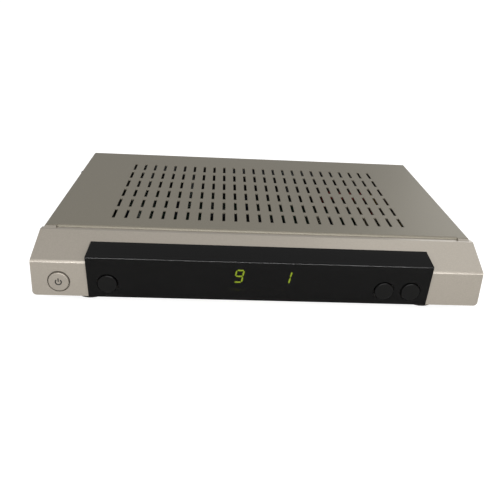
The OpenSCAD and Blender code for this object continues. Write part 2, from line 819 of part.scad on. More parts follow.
module ribbon_connectors() {
    color("#d9d2bd") {
        block(ribbon_x, front_board_y + board_t + ribbon_plug / 2, ribbon_z - 2.5,
              ribbon_w + 4, ribbon_plug, 5);
        block(ribbon_x, ribbon_end_y, board_top_z, ribbon_w + 4, 5, ribbon_plug);
    }
}

// Straight back from the front board, then a quarter turn down to the main board
module ribbon_cable() {
    c = [ribbon_end_y - ribbon_bend, ribbon_z - ribbon_bend];
    foot = board_top_z + ribbon_plug;
    color("#8d8f90") translate([ribbon_x, 0, 0]) across(ribbon_w) {
        translate([ribbon_start_y, ribbon_z - ribbon_t / 2]) square([c[0] - ribbon_start_y, ribbon_t]);
        intersection() {
            translate(c) difference() {
                circle(ribbon_bend + ribbon_t / 2);
                circle(ribbon_bend - ribbon_t / 2);
            }
            translate(c) square(2 * ribbon_bend);
        }
        translate([ribbon_end_y - ribbon_t / 2, foot]) square([ribbon_t, c[1] - foot]);
    }
}

// ---------------------------------------------------------------- main board

module board_plate(x0, w, holes) {
    difference() {
        translate([x0, boards_y0, board_z]) cube([w, boards_d, board_t]);
        for (p = holes) translate([p[0], p[1], board_z - 1]) cylinder(d = board_hole_d, h = board_t + 2);
    }
}

module main_board() {
    color("#2c5c3c") board_plate(main_x0, main_w, main_holes);
}

module board_screws() {
    color("#c9c9c4") {
        for (p = concat(main_holes, supply_holes)) translate([p[0], p[1], board_top_z])
            screw(board_screw_d, board_screw_l, board_head_d, board_head_h);
        for (x = front_boss_x) translate([x, front_board_y + board_t, front_boss_z]) rotate([-90, 0, 0])
            screw(board_screw_d, board_screw_l, board_head_d, board_head_h);
    }
}

// Places on the main board, measured from its left or right edge and its rear or front edge
function on_main(x, y) = [main_x0 + x, boards_y1 - y];
function right_main(x, y) = [main_x1 - x, boards_y1 - y];
function front_main(x, y) = [main_x0 + x, boards_y0 + y];

chip_w = 27;
chip_t = 2;
chip_at = on_main(112, 78);
sink_w = 30;
sink_base = 2;
sink_h = 12;
fin_count = 8;
fin_t = 1.2;

module processor_chip() {
    color("#26262a") block(chip_at[0], chip_at[1], board_top_z, chip_w, chip_w, chip_t);
}

module processor_heatsink() {
    z = board_top_z + chip_t;
    step = (sink_w - fin_t) / (fin_count - 1);
    color("#2d2e31") {
        block(chip_at[0], chip_at[1], z, sink_w, sink_w, sink_base);
        for (i = [0:fin_count - 1])
            block(chip_at[0] - sink_w / 2 + fin_t / 2 + i * step, chip_at[1], z, fin_t, sink_w, sink_h);
    }
}

module memory_chips() {
    color("#1f2023") for (y = [68, 92]) {
        p = on_main(143, y);
        block(p[0], p[1], board_top_z, 22, 10.2, 1.2);
    }
}

module support_chips() {
    color("#232327") {
        for (p = [on_main(60, 84), front_main(112, 26)]) block(p[0], p[1], board_top_z, 14, 14, 1.6);
        for (p = [front_main(40, 32), front_main(143, 24)]) block(p[0], p[1], board_top_z, 10, 6, 1.6);
    }
}

module crystal_can() {
    p = on_main(84, 78);
    color("#c8cacb") translate([p[0], p[1], board_top_z]) linear_extrude(3.6) {
        square([6.4, 4.6], center = true);
        for (s = [-1, 1]) translate([s * 3.2, 0]) circle(2.3);
    }
}

small_cap_d = 8;
small_cap_h = 12;
small_caps = [
    on_main(30, 70), on_main(30, 88), on_main(70, 56), on_main(126, 48),
    right_main(41, 104), right_main(29, 104), right_main(31, 80), [main_x1 - 17, boards_y0 + 24]];

module board_capacitors() {
    color("#22262f") for (p = small_caps) translate([p[0], p[1], board_top_z])
        cylinder(d = small_cap_d, h = small_cap_h);
}

// ---------------------------------------------------------------- rear sockets

// The sockets stand in a row on the main board, with the same gap between them
phono_w = 2 * phono_pitch - 0.6;
row_gap = (main_w - tuner_w - serial_w - phono_w - 2 * scart_w) / 6;
tuner_x = main_x0 + row_gap + tuner_w / 2;
serial_x = tuner_x + tuner_w / 2 + row_gap + serial_w / 2;
phono_x = serial_x + serial_w / 2 + row_gap + phono_w / 2;
scart_x0 = phono_x + phono_w / 2 + row_gap + scart_w / 2;
scart_x = [scart_x0, scart_x0 + scart_w + row_gap];
tab_x = [serial_x, scart_x[1]];
f_x = [tuner_x - f_pitch / 2, tuner_x + f_pitch / 2];
f_z = board_top_z + f_up;
f_tip_y = rear_y + f_reach;
tuner_face_y = panel_in_y - tuner_gap;
serial_z = board_top_z + 8.5;
phono_z = [board_top_z + phono_up, board_top_z + phono_up + phono_rise];
hole_gap = 0.3;
f_groove = 0.8;
phono_depth = 12;
phono_shank_d = phono_d - 1.2;
collar_d = phono_d + 1.7;
collar_flange = 1.2;

// A folded can with a stiffening rib round its lid
module tuner_can() {
    y = tuner_face_y - tuner_d / 2;
    color("#c3c6c4") difference() {
        union() {
            block(tuner_x, y, board_top_z, tuner_w, tuner_d, tuner_h - 0.6);
            block(tuner_x, y, board_top_z + tuner_h - 0.6 - eps, tuner_w - 3, tuner_d - 3, 0.6);
        }
        for (x = f_x) rod(x, tuner_face_y - 3, f_z, f_d + 2 * screw_gap, 4);
    }
}

// Threaded barrels, each with a relief groove outside its nut
module f_connectors() {
    groove_y = panel_y + f_nut_t;
    color("#c9b27a") for (x = f_x) difference() {
        union() {
            rod(x, tuner_face_y - 3, f_z, f_d, groove_y - tuner_face_y + 3);
            rod(x, groove_y - eps, f_z, f_d - 1, f_groove + 2 * eps);
            rod(x, groove_y + f_groove, f_z, f_d, f_tip_y - groove_y - f_groove);
        }
        rod(x, f_tip_y - 7, f_z, f_bore, 8);
    }
}

module f_connector_nuts() {
    color("#c9b27a") for (x = f_x) difference() {
        translate([x, panel_y, f_z]) rotate([-90, 0, 0])
            cylinder(d = f_nut / cos(30), h = f_nut_t, $fn = 6);
        rod(x, panel_y - 1, f_z, f_d + 2 * screw_gap, f_nut_t + 2);
    }
}

// The plug's outline: a long rectangle with one end sloped
module scart_outline(w, h) {
    u = w / 2;
    v = h / 2;
    polygon([[-u, -v], [u - 4, -v], [u, v - 4], [u, v], [-u, v]]);
}

module scart_sockets() {
    d = scart_d + sheet_t + socket_proud;
    slot_step = (scart_w - 12) / 10;
    color("#1e1e1f") for (x = scart_x) difference() {
        block(x, panel_in_y - scart_d + d / 2, board_top_z, scart_w, d, scart_h);
        translate([x, 0, board_top_z + scart_h / 2]) {
            backward(panel_y + socket_proud - 5, 6) difference() {
                scart_outline(scart_w - 3, scart_h - 3);
                scart_outline(scart_w - 8, scart_h - 7);
            }
            for (i = [0:9]) for (row = [-1, 1])
                block((i - 4.5 + row / 4) * slot_step, panel_y + socket_proud - 3, row * 2.4 - 1, 1, 8, 2);
        }
    }
}

module phono_block() {
    d = phono_depth;
    z1 = phono_z[1] + 6;
    color("#1d1d1e") difference() {
        block(phono_x, panel_in_y - d / 2, board_top_z, phono_w, d, z1 - board_top_z);
        for (sx = [-0.5, 0.5], z = phono_z)
            rod(phono_x + sx * phono_pitch, panel_in_y - 6, z, phono_shank_d + 2 * screw_gap, 7);
    }
}

// Barrels with a thinner shank, each seated on its collar
module phono_barrels() {
    seat_y = panel_y + collar_flange;
    color("#c7c9c8") for (sx = [-0.5, 0.5], z = phono_z) difference() {
        x = phono_x + sx * phono_pitch;
        union() {
            rod(x, panel_in_y - 6, z, phono_shank_d, seat_y - panel_in_y + 6 + eps);
            rod(x, seat_y, z, phono_d, panel_y + phono_reach - seat_y);
        }
        rod(x, panel_y + phono_reach - 8, z, 3.2, 9);
    }
}

// A coloured ring round one phono barrel, with a flange outside the panel
module phono_collar(sx, z) {
    x = phono_x + sx * phono_pitch;
    difference() {
        union() {
            rod(x, panel_in_y, z, collar_d, sheet_t + collar_flange);
            rod(x, panel_y, z, collar_d + 1.6, collar_flange);
        }
        rod(x, panel_in_y - 1, z, phono_shank_d + 2 * screw_gap, sheet_t + collar_flange + 2);
    }
}

module yellow_phono_collar() { color("#d9c21e") phono_collar(-0.5, phono_z[1]); }
module orange_phono_collar() { color("#d8772a") phono_collar(-0.5, phono_z[0]); }
module white_phono_collar() { color("#e4e3dd") phono_collar(0.5, phono_z[1]); }
module red_phono_collar() { color("#b3262a") phono_collar(0.5, phono_z[0]); }

serial_face_w = 16.9;
serial_face_h = 8.3;
serial_flange_h = 12.5;
serial_flange_t = 0.8;
serial_d = 8;

// The nine-way D outline, narrower at its foot
module serial_outline(w, h) {
    polygon([[-w / 2 + 1.6, -h / 2], [w / 2 - 1.6, -h / 2], [w / 2, h / 2], [-w / 2, h / 2]]);
}

module serial_shell() {
    color("#c5c8c8") translate([serial_x, 0, serial_z]) difference() {
        union() {
            backward(panel_in_y - serial_flange_t, serial_flange_t)
                square([serial_w, serial_flange_h], center = true);
            backward(panel_in_y - serial_flange_t, serial_flange_t + sheet_t + serial_reach)
                serial_outline(serial_face_w, serial_face_h);
        }
        backward(panel_in_y - serial_flange_t - 1, serial_reach + 6)
            serial_outline(serial_face_w - 1, serial_face_h - 1);
        for (s = [-1, 1]) rod(s * serial_pitch / 2, panel_in_y - 3, 0, 3.2, 6);
    }
}

module serial_insert() {
    color("#202022") translate([serial_x, 0, serial_z]) difference() {
        union() {
            block(0, panel_in_y - serial_flange_t - serial_d / 2, -8.5, serial_w - 1, serial_d, 14.5);
            backward(panel_in_y - serial_flange_t - eps, serial_flange_t + sheet_t + serial_reach - 0.6)
                serial_outline(serial_face_w - 1.3, serial_face_h - 1.3);
        }
        for (i = [0:4]) rod((i - 2) * 2.77, panel_y + serial_reach - 6, 1.42, 1.2, 7);
        for (i = [0:3]) rod((i - 1.5) * 2.77, panel_y + serial_reach - 6, -1.42, 1.2, 7);
        for (s = [-1, 1]) rod(s * serial_pitch / 2, panel_in_y - serial_d, 0, 3.4, serial_d + 1);
    }
}

serial_post_h = 5;
serial_post_hole_d = 2.84;

module serial_posts() {
    color("#c9c9c4") for (s = [-1, 1]) translate([serial_x + s * serial_pitch / 2, 0, serial_z])
        difference() {
            union() {
                translate([0, panel_y, 0]) rotate([-90, 0, 0])
                    cylinder(d = 5.5, h = serial_post_h, $fn = 6);
                rod(0, panel_in_y - serial_flange_t - 3, 0, 3, sheet_t + serial_flange_t + 3 + eps);
            }
            rod(0, panel_y + 0.6, 0, serial_post_hole_d, serial_post_h);
        }
}

// ---------------------------------------------------------------- rear panel

module rear_panel() {
    color("#b4b7b8") difference() {
        union() {
            translate([-inner_hw, panel_in_y, floor_z])
                cube([2 * inner_hw, sheet_t, under_top_z - lap_gap - floor_z]);
            translate([-inner_hw + 2, panel_in_y - panel_foot, floor_z])
                cube([2 * inner_hw - 4, panel_foot + eps, sheet_t]);
        }
        for (x = f_x) rod(x, panel_in_y - 1, f_z, f_d + 2 * hole_gap, sheet_t + 2);
        for (x = scart_x) block(x, panel_y - sheet_t / 2, board_top_z - hole_gap,
                                scart_w + 2 * hole_gap, sheet_t + 2, scart_h + 2 * hole_gap);
        block(inlet_x, panel_y - sheet_t / 2, board_top_z - hole_gap,
              inlet_w + 2 * hole_gap, sheet_t + 2, inlet_h + 2 * hole_gap);
        for (sx = [-0.5, 0.5], z = phono_z)
            rod(phono_x + sx * phono_pitch, panel_in_y - 1, z, collar_d + 2 * screw_gap, sheet_t + 2);
        translate([serial_x, 0, serial_z]) {
            backward(panel_in_y - 1, sheet_t + 2)
                serial_outline(serial_face_w + 2 * hole_gap, serial_face_h + 2 * hole_gap);
            for (s = [-1, 1]) rod(s * serial_pitch / 2, panel_in_y - 1, 0, 3.2, sheet_t + 2);
        }
        for (x = tab_x) rod(x, panel_in_y - 1, tab_screw_z, case_hole_d, sheet_t + 2);
        for (x = panel_screw_x) translate([x, panel_screw_y, floor_z - 1])
            cylinder(d = case_hole_d, h = sheet_t + 2);
    }
}

// ---------------------------------------------------------------- mains supply

inlet_x = supply_x;
inlet_z = board_top_z + inlet_h / 2;
inlet_tip_y = panel_y + socket_proud;
inlet_pin_d = 2.36;
cavity_w = 15.4;
cavity_h = 8.6;
cavity_d = 13;

// The figure-of-eight mouth of a two-pin inlet
module inlet_mouth() {
    square([cavity_w - cavity_h, cavity_h], center = true);
    for (s = [-1, 1]) translate([s * (cavity_w - cavity_h) / 2, 0]) circle(d = cavity_h);
}

module mains_inlet() {
    d = inlet_d + sheet_t + socket_proud;
    color("#19191a") difference() {
        block(inlet_x, panel_in_y - inlet_d + d / 2, board_top_z, inlet_w, d, inlet_h);
        translate([inlet_x, 0, inlet_z]) backward(inlet_tip_y - cavity_d, cavity_d + 1) inlet_mouth();
        for (s = [-1, 1]) rod(inlet_x + s * inlet_pitch / 2, inlet_tip_y - cavity_d - 3, inlet_z,
                              inlet_pin_d + 2 * screw_gap, 4);
    }
}

module mains_pins() {
    color("#cfcfc8") for (s = [-1, 1])
        rod(inlet_x + s * inlet_pitch / 2, inlet_tip_y - cavity_d - 3, inlet_z, inlet_pin_d, 3 + 10);
}

module supply_board() {
    color("#6d5a32") board_plate(supply_x0, supply_w, supply_holes);
}

// Places on the supply board, measured from its left edge and its rear edge
function on_supply(x, y) = [supply_x0 + x, boards_y1 - y];

fuse_d = 5.2;
fuse_l = 20;
fuse_at = on_supply(14, 21.5);
fuse_z = board_top_z + 5;
clip_t = 5;

module mains_fuse() {
    color("#d8dcd8") translate([fuse_at[0] - fuse_l / 2, fuse_at[1], fuse_z]) rotate([0, 90, 0])
        cylinder(d = fuse_d, h = fuse_l);
}

module fuse_clips() {
    color("#c8cacb") for (s = [-1, 1]) difference() {
        block(fuse_at[0] + s * (fuse_l / 2 - clip_t / 2), fuse_at[1], board_top_z,
              clip_t, fuse_d + 1.2, fuse_z - board_top_z);
        translate([fuse_at[0] - fuse_l, fuse_at[1], fuse_z]) rotate([0, 90, 0])
            cylinder(d = fuse_d + 2 * screw_gap, h = 2 * fuse_l);
    }
}

choke_at = on_supply(29, 43);
choke_w = 18;
choke_d = 16;
choke_h = 18;

// Two wound limbs between end cheeks
module line_choke() {
    z = board_top_z;
    color("#8a4a22") {
        for (s = [-1, 1]) block(choke_at[0] + s * (choke_w / 2 - 1), choke_at[1], z, 2, choke_d, choke_h);
        translate([choke_at[0] - choke_w / 2 + 1, choke_at[1], z + choke_h / 2]) rotate([0, 90, 0])
            cylinder(d = choke_h - 3, h = choke_w - 2);
    }
}

film_cap_at = on_supply(12, 42);

module suppression_capacitor() {
    color("#c9a93a") block(film_cap_at[0], film_cap_at[1], board_top_z, 9, 17, 15);
}

bulk_d = 18;
bulk_h = 22;
bulk_at = on_supply(30, 66);

module bulk_capacitor() {
    color("#2b2f3c") translate([bulk_at[0], bulk_at[1], board_top_z]) cylinder(d = bulk_d, h = bulk_h);
}

core_w = 24;
core_d = 8;
core_h = 21;
window_h = 13;
core_at = on_supply(24, 90);

// A ferrite frame round the winding
module transformer_core() {
    color("#3a3b3d") difference() {
        block(core_at[0], core_at[1], board_top_z + 1, core_w, core_d, core_h);
        block(core_at[0], core_at[1], board_top_z + 1 + (core_h - window_h) / 2, core_w - 8,
              core_d + 2, window_h);
    }
}

module transformer_winding() {
    z = board_top_z + 1 + core_h / 2;
    h = window_h - 2 * screw_gap;
    color("#d8b52a") {
        block(core_at[0], core_at[1], z - h / 2, core_w - 8 - 2 * screw_gap, 22, h);
        for (s = [-1, 1])
            block(core_at[0], core_at[1] + s * 8, board_top_z, core_w - 9, 5, z - board_top_z);
    }
}

fin_at = on_supply(6, 84);
fin_w = 1.6;
fin_l = 30;
fin_h = 22;

module supply_heatsink() {
    color("#b7b9ba") {
        block(fin_at[0], fin_at[1], board_top_z, fin_w, fin_l, fin_h);
        for (s = [-1, 1]) block(fin_at[0] + 2.4, fin_at[1] + s * (fin_l / 2 - fin_w / 2), board_top_z,
                                6.4, fin_w, fin_h);
    }
}

module switching_transistor() {
    color("#1f1f21") block(fin_at[0] + fin_w / 2 + 2.3, fin_at[1], board_top_z + 4, 4.5, 10, 16);
}

output_cap_d = 10;
output_cap_h = 20;

module output_capacitors() {
    color("#2a2c33") for (x = [8, 20, 32]) translate([supply_x0 + x, boards_y0 + 20, board_top_z])
        cylinder(d = output_cap_d, h = output_cap_h);
}

// ---------------------------------------------------------------- supply harness

harness_y = boards_y1 - 58;
harness_w = 12;
harness_t = 1.8;
harness_bend = 6;
harness_plug = 7;
harness_top_z = board_top_z + 21;
harness_x0 = main_x1 - 32;
harness_x1 = supply_x0 + 4;

module harness_connectors() {
    color("#e6e2d4") for (x = [harness_x0, harness_x1])
        block(x, harness_y, board_top_z, 6, harness_w + 3, harness_plug);
}

// Up from one board, across and down to the other, as a flat bundle of wires
module supply_harness() {
    r = harness_bend;
    t = harness_t;
    foot = board_top_z + harness_plug;
    color("#a8231f") backward(harness_y - harness_w / 2, harness_w) {
        translate([harness_x0 + r, harness_top_z - t / 2]) square([harness_x1 - harness_x0 - 2 * r, t]);
        for (s = [[harness_x0, 1], [harness_x1, -1]]) translate([s[0], 0]) mirror([s[1] < 0 ? 1 : 0, 0]) {
            translate([-t / 2, foot]) square([t, harness_top_z - r - foot]);
            intersection() {
                translate([r, harness_top_z - r]) difference() {
                    circle(r + t / 2);
                    circle(r - t / 2);
                }
                translate([-r, harness_top_z - r]) square([2 * r, 2 * r]);
            }
        }
    }
}

// ---------------------------------------------------------------- nodes

top_cover();
chassis_base();
rear_panel();
rubber_feet();
case_screws();
front_bezel();
display_window();
power_button();
menu_button();
channel_down_button();
channel_up_button();
power_plunger();
menu_plunger();
channel_down_plunger();
channel_up_plunger();
tact_switches();
front_board();
display_module();
lit_segments();
infrared_receiver();
ribbon_connectors();
ribbon_cable();
main_board();
board_screws();
processor_chip();
processor_heatsink();
memory_chips();
support_chips();
crystal_can();
board_capacitors();
tuner_can();
f_connectors();
f_connector_nuts();
scart_sockets();
phono_block();
phono_barrels();
white_phono_collar();
red_phono_collar();
yellow_phono_collar();
orange_phono_collar();
serial_shell();
serial_insert();
serial_posts();
supply_board();
mains_inlet();
mains_pins();
mains_fuse();
fuse_clips();
line_choke();
suppression_capacitor();
bulk_capacitor();
transformer_core();
transformer_winding();
supply_heatsink();
switching_transistor();
output_capacitors();
harness_connectors();
supply_harness();
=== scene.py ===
"""A satellite tv receiver, dressed for its studio picture.

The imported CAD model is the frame. The script follows the receiver as it is put together, from
the camera that looks at it to the screws that close its cover. All lengths are in metres.
"""

import math

import bpy
from mathutils import Matrix, Vector


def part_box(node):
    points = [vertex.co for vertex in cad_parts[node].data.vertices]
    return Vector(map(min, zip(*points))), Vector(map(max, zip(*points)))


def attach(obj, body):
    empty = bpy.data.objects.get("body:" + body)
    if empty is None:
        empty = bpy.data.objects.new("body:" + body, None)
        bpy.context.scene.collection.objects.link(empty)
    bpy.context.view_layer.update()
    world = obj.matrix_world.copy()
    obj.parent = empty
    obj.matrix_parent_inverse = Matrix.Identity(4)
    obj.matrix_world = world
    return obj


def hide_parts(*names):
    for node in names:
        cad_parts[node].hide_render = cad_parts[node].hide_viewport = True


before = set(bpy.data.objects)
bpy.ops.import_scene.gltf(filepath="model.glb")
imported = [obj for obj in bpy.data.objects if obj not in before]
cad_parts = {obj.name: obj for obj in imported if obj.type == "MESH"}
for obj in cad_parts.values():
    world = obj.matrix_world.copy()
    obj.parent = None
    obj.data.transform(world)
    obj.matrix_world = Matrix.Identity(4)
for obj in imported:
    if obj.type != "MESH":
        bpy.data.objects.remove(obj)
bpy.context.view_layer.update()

# ---------------------------------------------------------------- camera, lamps and floor
# The camera is held a third of a metre in front of the receiver, a little above it. Its place
# and lens were solved from the corners of the cover and of the front and from the rows of slots.
# Four soft boxes and a pale room light the receiver, which stands on a plain white table.

camera_place = (-0.02735, -0.4159, 0.19565)
camera_pan = math.radians(-3.94)
camera_tilt = math.radians(64.5)
camera_roll = math.radians(3.45)
sensor_width_mm = 36.0
lens_length_mm = 42.62
lens_shift = -0.0092

photo_camera = bpy.data.cameras.new("photo_camera")
photo_camera.sensor_width = sensor_width_mm
photo_camera.lens = lens_length_mm
photo_camera.shift_x = lens_shift
camera = bpy.data.objects.new("photo_camera", photo_camera)
camera.matrix_world = (
    Matrix.Translation(camera_place)
    @ Matrix.Rotation(camera_pan, 4, "Z")
    @ Matrix.Rotation(camera_tilt, 4, "X")
    @ Matrix.Rotation(camera_roll, 4, "Z")
)
bpy.context.scene.collection.objects.link(camera)
bpy.context.scene.camera = camera
bpy.context.scene.view_settings.view_transform = "Standard"


def linear(colour):
    """An sRGB hex colour as linear RGBA."""
    parts = [int(colour[i : i + 2], 16) / 255 for i in (1, 3, 5)]
    return [p / 12.92 if p <= 0.04045 else ((p + 0.055) / 1.055) ** 2.4 for p in parts] + [1.0]


def new_material(name, **sockets):
    """A material and its Principled shader, with constants set on the shader's own sockets."""
    material = bpy.data.materials.new(name)
    material.use_nodes = True
    shader = material.node_tree.nodes["Principled BSDF"]
    for socket, value in sockets.items():
        shader.inputs[socket.replace("_", " ")].default_value = value
    return material, shader


def add_node(material, kind, inputs=None, **settings):
    """Adds a node with its settings. An input given as a socket is linked to it."""
    node = material.node_tree.nodes.new(kind)
    for name, value in settings.items():
        setattr(node, name, value)
    for name, value in (inputs or {}).items():
        if isinstance(value, bpy.types.NodeSocket):
            material.node_tree.links.new(value, node.inputs[name])
        else:
            node.inputs[name].default_value = value
    return node


def add_softbox(name, place, aim, size, power):
    """An area lamp at a place, turned to a point, with its power in watts."""
    lamp = bpy.data.lights.new(name, "AREA")
    lamp.shape = "RECTANGLE"
    lamp.size, lamp.size_y = size
    lamp.energy = power
    softbox = bpy.data.objects.new(name, lamp)
    softbox.location = place
    softbox.rotation_euler = (Vector(aim) - Vector(place)).to_track_quat("-Z", "Y").to_euler()
    bpy.context.scene.collection.objects.link(softbox)


# The large box lights the slope and the crease, and the low strip the upright front. The box
# overhead and the one behind are weaker, so that the cover stays darker than the front.
front_middle = (0, -0.09, 0.03)
add_softbox("front_softbox", (0.05, -1.0, 0.74), front_middle, size=(1.0, 0.8), power=6.4)
add_softbox("front_strip_light", (0.05, -1.0, 0.14), front_middle, size=(1.1, 0.12), power=3.3)
add_softbox("ceiling_softbox", (0.55, -0.15, 1.15), (0.05, 0, 0.03), size=(0.6, 0.6), power=0.75)
add_softbox("rear_softbox", (0.75, 0.8, 0.5), (0.08, 0, 0.04), size=(0.7, 0.5), power=1.6)

# The camera, and light that has come through glass, see the room as plain white. All other
# light finds it darker.
white = (1, 1, 1, 1)
room_level = 0.45
white_level = 1.0
room = bpy.data.worlds.new("white_room")
room.use_nodes = True
bpy.context.scene.world = room
room_light = room.node_tree.nodes["Background"]
room_light.inputs["Color"].default_value = white
room_light.inputs["Strength"].default_value = room_level
seen_light = add_node(room, "ShaderNodeBackground", {"Color": white, "Strength": white_level})
rays = add_node(room, "ShaderNodeLightPath")
seen_rays = add_node(
    room, "ShaderNodeMath",
    {0: rays.outputs["Is Camera Ray"], 1: rays.outputs["Is Transmission Ray"]}, operation="MAXIMUM")
room_mix = add_node(
    room, "ShaderNodeMixShader",
    {0: seen_rays.outputs[0], 1: room_light.outputs[0], 2: seen_light.outputs[0]})
room.node_tree.links.new(room_mix.outputs[0], room.node_tree.nodes["World Output"].inputs["Surface"])

table_width = 30
table_clearance = 0.0002
table_glow = 0.12
table_seen_glow = 0.75
bpy.ops.object.select_all(action="DESELECT")
bpy.ops.mesh.primitive_plane_add(size=table_width, location=(0, 0, -table_clearance))
table_top = bpy.context.object
table_top.name = "table_top"

# Matt laminate, which keeps the receiver's soft shadow. Its glow makes it look white wherever the
# room does, and its underside is clear, so that the receiver can be seen from below.
white_laminate, laminate_shader = new_material("matt_white_laminate", Roughness=0.9)
laminate_shader.inputs["Base Color"].default_value = linear("#b4b3b1")
laminate_shader.inputs["Emission Color"].default_value = white
table_rays = add_node(white_laminate, "ShaderNodeLightPath")
seen_table = add_node(
    white_laminate, "ShaderNodeMath",
    {0: table_rays.outputs["Is Camera Ray"], 1: table_rays.outputs["Is Transmission Ray"]},
    operation="MAXIMUM")
glow = add_node(
    white_laminate, "ShaderNodeMath",
    {0: seen_table.outputs[0], 1: table_seen_glow, 2: table_glow}, operation="MULTIPLY_ADD")
white_laminate.node_tree.links.new(glow.outputs[0], laminate_shader.inputs["Emission Strength"])
table_side = add_node(white_laminate, "ShaderNodeNewGeometry")
unseen_side = add_node(white_laminate, "ShaderNodeBsdfTransparent")
table_mix = add_node(
    white_laminate, "ShaderNodeMixShader",
    {0: table_side.outputs["Backfacing"], 1: laminate_shader.outputs[0], 2: unseen_side.outputs[0]})
white_laminate.node_tree.links.new(
    table_mix.outputs[0], white_laminate.node_tree.nodes["Material Output"].inputs["Surface"])
table_top.data.materials.append(white_laminate)

# ---------------------------------------------------------------- chassis base and rear panel
# The tray and the rear wall are folded from zinc-plated steel sheet, and screws hold the one
# to the other. Plating leaves a cool satin metal with a faint blotchy sheen.


def give(material, *nodes):
    """Puts a material on CAD nodes."""
    for name in nodes:
        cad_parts[name].data.materials.clear()
        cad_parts[name].data.materials.append(material)


def add_grain(material, shader, size, dark, light, bump, roughness, stretch=(1, 1, 1)):
    """Grain of a size in metres: two colours, a range of roughness and a height of bump.

    Nearly all values of the noise lie between 0.3 and 0.7. A stretch above 1 makes the grain
    finer along that axis.
    """
    place = add_node(material, "ShaderNodeTexCoord")
    stretched = add_node(
        material, "ShaderNodeMapping", {"Vector": place.outputs["Object"], "Scale": stretch})
    noise = add_node(
        material, "ShaderNodeTexNoise",
        {"Vector": stretched.outputs["Vector"], "Scale": 1 / size, "Detail": 2.0})
    ramp = add_node(material, "ShaderNodeValToRGB", {"Fac": noise.outputs["Fac"]})
    ramp.color_ramp.elements[0].position = 0.32
    ramp.color_ramp.elements[1].position = 0.68
    ramp.color_ramp.elements[0].color = linear(dark)
    ramp.color_ramp.elements[1].color = linear(light)
    material.node_tree.links.new(ramp.outputs["Color"], shader.inputs["Base Color"])
    gloss = add_node(
        material, "ShaderNodeMapRange",
        {"Value": noise.outputs["Fac"], "From Min": 0.3, "From Max": 0.7,
         "To Min": roughness[0], "To Max": roughness[1]})
    material.node_tree.links.new(gloss.outputs["Result"], shader.inputs["Roughness"])
    relief = add_node(
        material, "ShaderNodeBump",
        {"Height": noise.outputs["Fac"], "Strength": 1.0, "Distance": bump})
    material.node_tree.links.new(relief.outputs["Normal"], shader.inputs["Normal"])


# Cool satin metal, whose sheen has soft blotches about 9 mm across.
zinc, zinc_shader = new_material("zinc_plated_steel", Metallic=1.0)
add_grain(
    zinc, zinc_shader, size=0.009, dark="#a9adb0", light="#c3c6c6",
    bump=0.00002, roughness=(0.32, 0.46), stretch=(1, 1.6, 1))
give(zinc, "chassis_base", "rear_panel")

# ---------------------------------------------------------------- feet
# Four turned rubber feet, each with a peg that snaps into the base. Moulded rubber is
# matt and nearly black, a little brown, with dust-dull patches.

# Matt, with dull patches of dust 4 mm across. Rubber's own grain is too fine to show.
rubber, rubber_shader = new_material("moulded_rubber")
add_grain(
    rubber, rubber_shader, size=0.004, dark="#211d1a", light="#332d28",
    bump=0.00004, roughness=(0.7, 0.9))
give(rubber, "rubber_feet")

# ---------------------------------------------------------------- main board
# Glass-epoxy board under a green solder mask, which is glossy and a little uneven over
# the copper. Chips are moulded epoxy with a fine matt skin.

# A wet-looking green film over the copper, uneven in patches of 2 mm.
solder_mask, solder_mask_shader = new_material("solder_mask_on_glass_epoxy", Coat_Weight=0.4)
add_grain(
    solder_mask, solder_mask_shader, size=0.002, dark="#10281a", light="#1c3f29",
    bump=0.00002, roughness=(0.25, 0.4))
give(solder_mask, "main_board", "front_board")

# Matt and nearly black. Its real grain of 0.05 mm is drawn at 0.6 mm, to show.
chip_epoxy, chip_epoxy_shader = new_material("moulded_chip_epoxy")
add_grain(
    chip_epoxy, chip_epoxy_shader, size=0.0006, dark="#1c1c1f", light="#2c2c30",
    bump=0.00001, roughness=(0.5, 0.65))
give(chip_epoxy, "processor_chip", "memory_chips", "support_chips", "switching_transistor")

# Dull black metal with the lines of its extrusion, drawn at 1 mm, to show.
black_anodised, black_anodised_shader = new_material("black_anodised_aluminium", Metallic=0.6)
add_grain(
    black_anodised, black_anodised_shader, size=0.001, dark="#242529", light="#34363a",
    bump=0.00001, roughness=(0.35, 0.5), stretch=(1, 0.1, 1))
give(black_anodised, "processor_heatsink")

# Bright smooth metal with a faint haze, drawn at 1 mm, coarser than real.
can_steel, can_steel_shader = new_material("drawn_nickel_steel", Metallic=1.0)
add_grain(
    can_steel, can_steel_shader, size=0.001, dark="#b9bcbd", light="#d2d4d4",
    bump=0.000005, roughness=(0.22, 0.32))
give(can_steel, "crystal_can")

# A thin glossy film, dark blue, shrunk on with slow waves of 3 mm.
sleeve, sleeve_shader = new_material("shrunk_pvc_sleeve", Coat_Weight=0.3)
add_grain(
    sleeve, sleeve_shader, size=0.003, dark="#232837", light="#2e3447",
    bump=0.00002, roughness=(0.25, 0.35))
give(sleeve, "board_capacitors", "bulk_capacitor", "output_capacitors")

# Bright metal with small dulled spots, drawn at 0.8 mm, coarser than real.
board_screw_zinc, board_screw_zinc_shader = new_material("bright_zinc_screw", Metallic=1.0)
add_grain(
    board_screw_zinc, board_screw_zinc_shader, size=0.0008, dark="#b7b8b4", light="#cfcfc9",
    bump=0.00001, roughness=(0.25, 0.38))
give(board_screw_zinc, "board_screws")

# ---------------------------------------------------------------- tuner and aerial sockets
# The tuner is a tin-plated steel can, soft and slightly wavy in its shine. The aerial
# sockets and their nuts are nickel-plated brass.

# Pale metal whose shine is wavy over 6 mm.
tin_plate, tin_plate_shader = new_material("tin_plated_steel", Metallic=1.0)
add_grain(
    tin_plate, tin_plate_shader, size=0.006, dark="#bcbfbd", light="#d4d6d3",
    bump=0.00003, roughness=(0.26, 0.38))
give(tin_plate, "tuner_can", "serial_shell", "fuse_clips")

